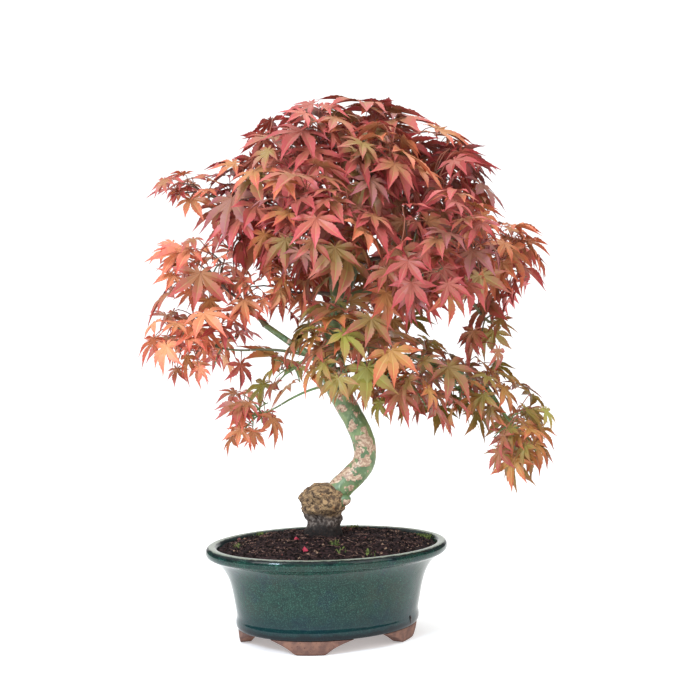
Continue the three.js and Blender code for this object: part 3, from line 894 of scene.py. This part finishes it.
def make_rootstock(cork, bark):
    """The stub with its corky collar, and the green knob at its side."""
    stub = Path([ROOTSTOCK["foot"], ROOTSTOCK["head"]])

    def radius(share, angle):
        smooth = along(ROOTSTOCK["outline"], share) + 0 * angle
        swell = np.sin(5 * angle + 17 * share) + np.cos(2 * angle - 17 * share)
        coarse = rough_round(smooth, angle, share * stub.length, 8, 4)
        fine = rough_round(smooth, angle, share * stub.length + 90, 2.6, 3)
        corky = np.clip((share - ROOTSTOCK["collar"]) * 6, 0.25, 1)
        return smooth + 1.1 * swell * np.minimum(1, share * 3) + corky * (1.9 * coarse + fine)

    def knob(share, angle):
        return KNOB["radius"] * np.sqrt(1 - 0.9 * share**4) * (1 + 0.06 * np.sin(3 * angle))

    shape = Shape().add(*tube(stub, radius, 130, 110))
    make_piece("graft_stub", shape, [cork], ["rootstock"])
    shape = Shape().add(*tube(smooth_line(KNOB["path"]), knob, 24, 12))
    make_piece("graft_knob", shape, [bark], ["rootstock"])


def bark_relief(path, outline, collar, nodes_apart):
    """Radius of a limb: its taper, a collar at its foot, ring scars and slow swellings."""
    def radius(share, angle):
        smooth = along(outline, share) + 0 * angle
        run = share * path.length
        foot = collar * np.exp(-run / (2.2 * outline[0][1]))
        ring = run / nodes_apart + 0.06 * np.sin(2 * angle)
        scar = np.exp(-(((ring + 0.5) % 1 - 0.5) * nodes_apart / 0.7) ** 2)
        slow = rough_round(smooth, angle, run, 13, 3)
        return smooth * (1 + 0.045 * slow) + foot + 0.28 * scar * np.sin(angle + ring * 2) ** 2

    return radius


def make_limbs(limbs, bark):
    for name, path in limbs.items():
        thick = name == "trunk"
        relief = bark_relief(path, LIMBS[name]["outline"], *BARK["trunk" if thick else "bough"])
        sides, steps = (56, 230) if thick else (20, int(path.length / 1.2))
        shape = Shape().add(*tube(path, relief, sides, steps))
        make_piece(name + "_bark", shape, [bark], [name])


# ---- the masses' spaces


class Mass:
    """One foliage mass: its space, its branch and its stem, by the rule of the frame's source."""

    def __init__(self, name, heart, reach, limb, start, look, leaves):
        self.name, self.limb, self.start, self.look, self.leaves = name, limb, start, look, leaves
        self.centre, self.reach = np.array(heart, float), np.array(reach, float)
        self.size = sum(reach) / 3
        self.slim = SLIM.get(name, 1)

    def power(self, points):
        """How far points lie from the mass's ball. Two masses' border is where theirs are equal."""
        return ((points - self.centre) ** 2).sum(-1) - self.size**2

    def holds(self, point, masses):
        """Whether a point is within reach and on this side of every border."""
        if np.linalg.norm((point - self.centre) / self.reach) > 1:
            return False
        own = self.power(point)
        for other in masses:
            margin = 2 * GAP * np.linalg.norm(self.centre - other.centre)
            if other is not self and own + margin >= other.power(point):
                return False
        return True

    def place(self, turn, height, far):
        """A point of the space: how far round it, how high and how far out, each as a share."""
        level = math.sqrt(1 - height**2)
        way = np.array([level * math.cos(turn), level * math.sin(turn), height])
        return way * self.reach * far + self.centre

    def branch_out(self, limbs, masses):
        """Finds the branch, from its limb to where it enters the mass."""
        start = place_on(limbs[self.limb], self.start)
        inward = start - self.centre
        out = np.linalg.norm(inward / self.reach)
        shares = [min(share / out, SPRAY["longest"]) for share in SPRAY["entry"]]
        ends = [self.centre + inward * share for share in shares]
        self.entry = next((end for end in ends if self.holds(end, masses)), ends[-1])
        middle = (start + self.entry) / 2
        middle[2] += BRANCH["rise"] * np.linalg.norm(start - self.entry)
        self.branch = bent_line(start, middle, self.entry, 24)
        self.heading = self.branch.heading(1)


class Crown:
    """All masses together, and every leaf that has grown."""

    def __init__(self, masses, limb_trees):
        self.masses = masses
        self.centres = np.array([mass.centre for mass in masses])
        self.reaches = np.array([mass.reach for mass in masses])
        self.limb_trees = limb_trees
        self.leaf_trees, self.leaf_middles = [], np.zeros((0, 3))

    def holds(self, points):
        """Whether all points are within reach of some mass."""
        out = np.linalg.norm((points[:, None] - self.centres) / self.reaches, axis=-1)
        return out.min(1).max() < SPRAY["stretch"]

    def leaves_near(self, point):
        near = np.linalg.norm(self.leaf_middles - point, axis=1) < 2 * LEAF["length"]["red"][1]
        return [self.leaf_trees[i] for i in np.flatnonzero(near)]

    def add_leaf(self, body, middle):
        self.leaf_trees.append(body)
        self.leaf_middles = np.concatenate([self.leaf_middles, middle[None]])


def place_on(path, start):
    """The point of a limb's axis at a height, or up to 1 at a share of its length."""
    if start <= 1:
        return path.at(start)
    points = path.at(np.linspace(0, 1, 201))
    return points[np.argmin(np.abs(points[:, 2] - start))]


def grow_limbs():
    limbs = {}
    for name, limb in LIMBS.items():
        places = list(limb["through"])
        if "from" in limb:
            parent, height = limb["from"]
            places.insert(0, place_on(limbs[parent], height))
        limbs[name] = smooth_line(places)
    return limbs


# ---- leaves


def lobe_rows(angle, length, width, random):
    """Rows of a lobe from its notch to its tip, each of four points across."""
    bend, wave = random(-0.16, 0.16), random(0, 6)
    droop, fold = random(0.7, 1.5), random(0.25, 0.7)
    rows = []
    for share, wide in LOBE:
        turn = math.radians(angle) + bend * share
        out = np.array([math.cos(turn), math.sin(turn)])
        left = np.array([-out[1], out[0]])
        half = width * length * wide
        rib = min(length * between(VEIN, share), half)
        sag = LEAF["arch"] * droop * (share * length) ** 2
        ripple = 0.012 * math.sin(9 * share + wave)
        row = []
        for across in (-half, -rib, rib, half):
            lift = fold * (abs(across) - rib) + ripple * (abs(across) > rib)
            row.append((*(out * share * length + left * across), lift - sag))
        rows.append(row)
    return rows


def spoke(degrees, out, height=0.0):
    """A point of a leaf at an angle to its middle lobe and a distance out."""
    turn = math.radians(degrees)
    return out * math.cos(turn), out * math.sin(turn), height


def leaf_variant(random):
    """Corners, faces and their parts' numbers of a leaf of length 1, middle lobe along +X."""
    blade, heart, inner, rib, tip = range(len(PARTS))
    lobes = [(angle, size * random(0.86, 1.08)) for angle, size in sorted(LEAF["lobes"])]
    width = random(*LOBE_WIDTH)
    past, out = LEAF["heel"]
    corners = [(0, 0, 0), spoke(lobes[0][0] - past, out)]
    for (a, size), (b, other) in zip(lobes, lobes[1:]):
        notch = LEAF["notch"] * (min(size, other) * 0.75 + 0.2)
        corners.append(spoke((a + b) / 2, notch, 0.01 - LEAF["arch"] * notch**2))
    corners.append(spoke(lobes[-1][0] + past, out))
    faces, parts = [], []
    for i, (angle, size) in enumerate(lobes):
        right, left, base = 1 + i, 2 + i, len(corners)
        rows = lobe_rows(angle, size, width, random)
        for row in rows[:-1]:
            corners += row
        corners.append(rows[-1][1])
        faces += [(0, right, base, base + 1), (0, base + 1, base + 2)]
        faces.append((0, base + 2, base + 3, left))
        parts += [heart, rib, heart]
        for j in range(len(rows) - 2):
            low, high = base + 4 * j, base + 4 * (j + 1)
            faces += [(low + k, high + k, high + k + 1, low + k + 1) for k in range(3)]
            share = LOBE[j][0]
            side = inner if share < HEART_END else blade if share < TIP_START else tip
            parts += [side, rib if share < VEIN_END else side, side]
        low, end = base + 4 * (len(rows) - 2), len(corners) - 1
        faces += [(low + k, end, low + k + 1) for k in range(3)]
        parts += [tip, tip, tip]
    return np.array(corners), faces, parts


def leaf_star():
    """The leaf's plain star of five lobes, which tells whether it would touch something."""
    rim = [(0, 1), (23, 0.4), (47, 0.95), (71, 0.38), (97, 0.68), (148, 0.1)]
    rim += [(-angle, out) for angle, out in reversed(rim[1:])]
    corners = [(0, 0, 0)] + [spoke(angle, out, -LEAF["arch"] * out**2) for angle, out in rim]
    faces = [(0, 1 + i, 1 + (i + 1) % len(rim)) for i in range(len(rim))]
    return np.array(corners), faces


def leaf_pose(random, start, middle, height, look):
    """How a leaf hangs that grows from start to middle: the higher in its mass, the more level."""
    way = middle - start
    rise = math.atan2(way[2], math.hypot(way[0], way[1]))
    droop = random(*LEAF["droop"]) - LEAF["lift"] * height
    azimuth = math.atan2(way[1], way[0]) + random(-LEAF["swing"], LEAF["swing"])
    turn = Matrix.Rotation(azimuth, 3, "Z")
    turn @= Matrix.Rotation(min(droop, LEAF["fold"] - rise), 3, "Y")
    turn @= Matrix.Rotation(random(-LEAF["roll"], LEAF["roll"]), 3, "X")
    return np.array(turn), random(*LEAF["length"][look])


def tree_of(corners, faces):
    """What overlap is tested with."""
    return BVHTree.FromPolygons(corners.tolist(), faces)


def touches(body, others):
    return any(body.overlap(other) for other in others)


class Wood:
    """A mass's own wood: straight pieces of its stem and twigs, and the spray each is in."""

    def __init__(self):
        self.starts, self.ends, self.sprays = np.zeros((0, 3)), np.zeros((0, 3)), []

    def add(self, path, spray):
        self.starts = np.concatenate([self.starts, path.points[:-1]])
        self.ends = np.concatenate([self.ends, path.points[1:]])
        self.sprays += [spray] * (len(path.points) - 1)

    def nearest(self, point):
        """The nearest place on it, and that place's spray."""
        runs = self.ends - self.starts
        share = ((point - self.starts) * runs).sum(1) / (runs**2).sum(1)
        places = self.starts + runs * np.clip(share, 0, 1)[:, None]
        best = np.argmin(((places - point) ** 2).sum(1))
        return places[best], self.sprays[best]


class Growth:
    """What grows in one mass: its wood, the tint of each of its sprays, and its leaves."""

    def __init__(self, mass, seed, crown, shapes):
        self.mass, self.seed, self.crown, self.shapes = mass, seed, crown, shapes
        self.random, self.pick = seeded(seed), seeded(seed + 1000)
        self.wood, self.twig_trees, self.sprays, self.leaves = Wood(), [], [], Shape()

    def dealt(self, choices):
        return choices[int(self.pick() * len(choices))]

    def add_spray(self):
        self.sprays.append(self.dealt(DEALS[self.mass.look]))
        return len(self.sprays) - 1

    def add_twig(self, start, end):
        """Whether a twig grew: not where it would leave the crown or cut a leaf."""
        path = sagging_line(start, end, SPRAY["rise"])
        corners, faces = tapered(path, *SPRAY["twig"], 4, 4)
        body = tree_of(corners, faces)
        near = self.crown.leaves_near((start + end) / 2)
        if not self.crown.holds(path.points) or touches(body, near):
            return False
        self.wood.add(path, self.add_spray())
        self.twig_trees.append(body)
        self.shapes["twigs"].add(corners, faces)
        return True

    def add_stem(self):
        """The stem, from the branch's tip to the heart, and twigs fanned out to all sides."""
        mass = self.mass
        foot = mass.entry + mass.heading * GAP
        bend = foot + mass.heading * np.linalg.norm(foot - mass.centre) / 2
        stem = bent_line(foot, bend, mass.centre, 8)
        self.wood.add(stem, self.add_spray())
        thick, thin = SPRAY["stem"]
        self.shapes["twigs"].add(*tapered(stem, thick * mass.slim, thin * mass.slim, 6, 10))
        for i in range(SPRAY["twigs"]):
            height = 1 - (2 * i + 1) / SPRAY["twigs"]
            start = stem.at(self.random(0.5, 1))
            turn = self.seed + i * GOLDEN_ANGLE
            self.add_twig(start, mass.place(turn, height, SPRAY["twig_reach"]))

    def add_leaf(self, star, variants):
        """Whether a leaf grew, from the nearest wood there is: not where it would cut anything,
        leave the crown or bend its stalk too far."""
        random, mass, crown = self.random, self.mass, self.crown
        turn, height, far = random(0, 2 * math.pi), random(-1, 1), random() ** SPRAY["outwards"]
        middle = mass.place(turn, height, far * SPRAY["inside"])
        if not mass.holds(middle, crown.masses):
            return False
        start, spray = self.wood.nearest(middle)
        turning, length = leaf_pose(random, start, middle, height, mass.look)
        way = middle - start
        reach = min(np.linalg.norm(way), LEAF["stalk"] * length)
        seat = middle - unit(way) * reach
        stalk = turning.T @ (seat - middle)
        corners, faces = star[0] @ turning.T * length + middle, star[1]
        bent = abs(math.atan2(stalk[1], stalk[0])) < math.pi - LEAF["stalk_spread"]
        if bent or not crown.holds(corners):
            return False
        body = tree_of(corners, faces)
        if touches(body, crown.leaves_near(middle) + crown.limb_trees + self.twig_trees):
            return False
        if reach < np.linalg.norm(way) - 1:
            if not self.add_twig(start, seat):
                return False
            spray = len(self.sprays) - 1
        crown.add_leaf(body, middle)
        tint = self.sprays[spray] if self.pick() > STRAY else self.dealt(DEALS[mass.look])
        shape, faces, parts = self.dealt(variants)
        first = len(PARTS) * list(TINTS).index(tint)
        parts = [first + part for part in parts]
        self.leaves.add(shape @ turning.T * length + middle, faces, parts)
        back = middle + turning @ np.array([-0.3, 0, 0.1]) * length
        line = bent_line(seat, back, middle, 5)
        self.shapes["stalks"].add(*tapered(line, *SPRAY["stalk"], 4, 5))
        return True

    def grow(self, star, variants):
        self.add_stem()
        grown = 0
        for _ in range(SPRAY["tries"]):
            grown += self.add_leaf(star, variants)
            if grown == self.mass.leaves:
                break
        return self.leaves


def make_branches(masses, twig):
    """The branches as one piece, and what a leaf is tried against for each."""
    branches, trees = Shape(), []
    for mass in masses:
        foot, tip = (radius * mass.slim for radius in BRANCH["radius"])
        collar, nodes_apart = BARK["branch"]
        relief = bark_relief(mass.branch, [(0, foot), (1, tip)], collar * mass.slim, nodes_apart)
        steps = max(int(mass.branch.length / 1.5), 6)
        branches.add(*tube(mass.branch, relief, 12, steps))
        trees.append(tree_of(*tapered(mass.branch, foot, tip, 6, 8)))
    make_piece("branches", branches, [twig], ["branch_" + mass.name for mass in masses])
    return trees


def make_foliage(limbs, twig, stalk):
    masses = [Mass(name, *sizes) for name, sizes in MASSES.items()]
    for mass in masses:
        mass.branch_out(limbs, masses)
    trees = []
    for name, path in limbs.items():
        outline = [(share, radius + 0.5) for share, radius in LIMBS[name]["outline"]]
        trees.append(tree_of(*tube(path, lambda share, angle: along(outline, share), 8, 24)))
    crown = Crown(masses, trees + make_branches(masses, twig))
    random = seeded(5)
    variants = [leaf_variant(random) for _ in range(LEAF["variants"])]
    finishes, star = leaf_finishes(), leaf_star()
    shapes = {"twigs": Shape(), "stalks": Shape()}
    for i, mass in enumerate(masses):
        leaves = Growth(mass, i + 1, crown, shapes).grow(star, variants)
        slot, nodes = "leaf_" + mass.look, ["foliage_" + mass.name]
        make_piece("leaves_" + mass.name, leaves, finishes, nodes, smooth=False)
    nodes = ["foliage_" + mass.name for mass in masses]
    make_piece("twigs", shapes["twigs"], [twig], nodes)
    make_piece("leaf_stalks", shapes["stalks"], [stalk], nodes)


# ---- floor, light and camera


def make_floor():
    half, grey = FLOOR["half"], FLOOR["grey"]
    corners = [(-half, -half, 0), (half, -half, 0), (half, half, 0), (-half, half, 0)]
    floor = new_object("floor", new_mesh("floor", corners, [(0, 1, 2, 3)]))
    matt = {"Roughness": 0.9, "Specular_IOR_Level": 0.1}
    glow = {"Emission_Color": (1, 1, 1, 1), "Emission_Strength": FLOOR["glow"]}
    floor.data.materials.append(plain("pale_floor", (grey, grey, grey, 1), **matt, **glow))


def make_lights():
    """Square area lights, each turned to its target."""
    for name, (place, target, size, power, tint) in LIGHTS.items():
        light = bpy.data.lights.new(name, "AREA")
        light.shape, light.size, light.energy, light.color = "SQUARE", size, power, tint
        softbox = new_object(name, light)
        softbox.location = place
        way = Vector(target) - Vector(place)
        softbox.rotation_euler = way.to_track_quat("-Z", "Y").to_euler()


def make_world():
    """A white studio: plain white to the eye, dimmer in what it lights, and in what is glossy a
    white backdrop and ceiling between dim sides."""
    world = bpy.data.worlds.new("studio")
    bpy.context.scene.world = world
    world.use_nodes = True
    nodes = Nodes(world.node_tree)
    way = nodes.add("SeparateXYZ", Vector=nodes.add("TexCoord").outputs["Generated"]).outputs
    rays = nodes.add("LightPath").outputs

    def ramp(axis, low, high, start, end):
        ends = {"From_Min": low, "From_Max": high, "To_Min": start, "To_Max": end}
        return nodes.add("MapRange", Value=way[axis], **ends).outputs["Result"]

    white = nodes.math("MAXIMUM", ramp(*BACKDROP), ramp(*CEILING))
    strength = nodes.mix(rays["Is Glossy Ray"], ramp(*SKY), white, "FLOAT")
    strength = nodes.mix(rays["Is Camera Ray"], strength, TO_THE_EYE, "FLOAT")
    background = world.node_tree.nodes["Background"].inputs
    nodes.set(background["Color"], (1, 1, 1, 1))
    nodes.set(background["Strength"], strength)


def make_camera():
    """A level camera in front of the pot's middle."""
    data = bpy.data.cameras.new("camera")
    data.lens, data.sensor_width, data.clip_end = CAMERA["lens"], CAMERA["sensor"], 100
    camera = new_object("camera", data)
    camera.location = placed([CAMERA["place"]])[0]
    camera.rotation_euler = (math.pi / 2, 0, 0)
    bpy.context.scene.camera = camera


# ---- the whole

pot_low, pot_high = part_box("pot")
POT_MIDDLE = np.array([(pot_low.x + pot_high.x) / 2, (pot_low.y + pot_high.y) / 2, 0])

bpy.context.scene.view_settings.view_transform = "Standard"
make_camera()
make_floor()
make_world()
make_lights()

clay, bark = clay_finish(), bark_finish()
make_pot(glaze_finish(), clay)
make_drip()
for foot, place in FEET.items():
    make_foot(foot, place, clay)
black, soil, brown, tan = (soil_finish(name, *codes) for name, codes in SOILS.items())
make_soil(soil)
make_crumbs([black, soil, brown, tan])
make_roots(soil_finish("root_strand", "45302c", "967668"))
scrap = plain("fallen_scrap", colour("7c4440"), Roughness=0.7)
petal = plain("fallen_petal", colour("b83048"), Roughness=0.6)
make_moss(moss_finish(), scrap, petal)

limbs = grow_limbs()
make_rootstock(cork_finish(), bark)
make_limbs(limbs, bark)
make_foliage(limbs, twig_finish(), plain("leaf_stalk", colour("9a5a44"), Roughness=0.5))
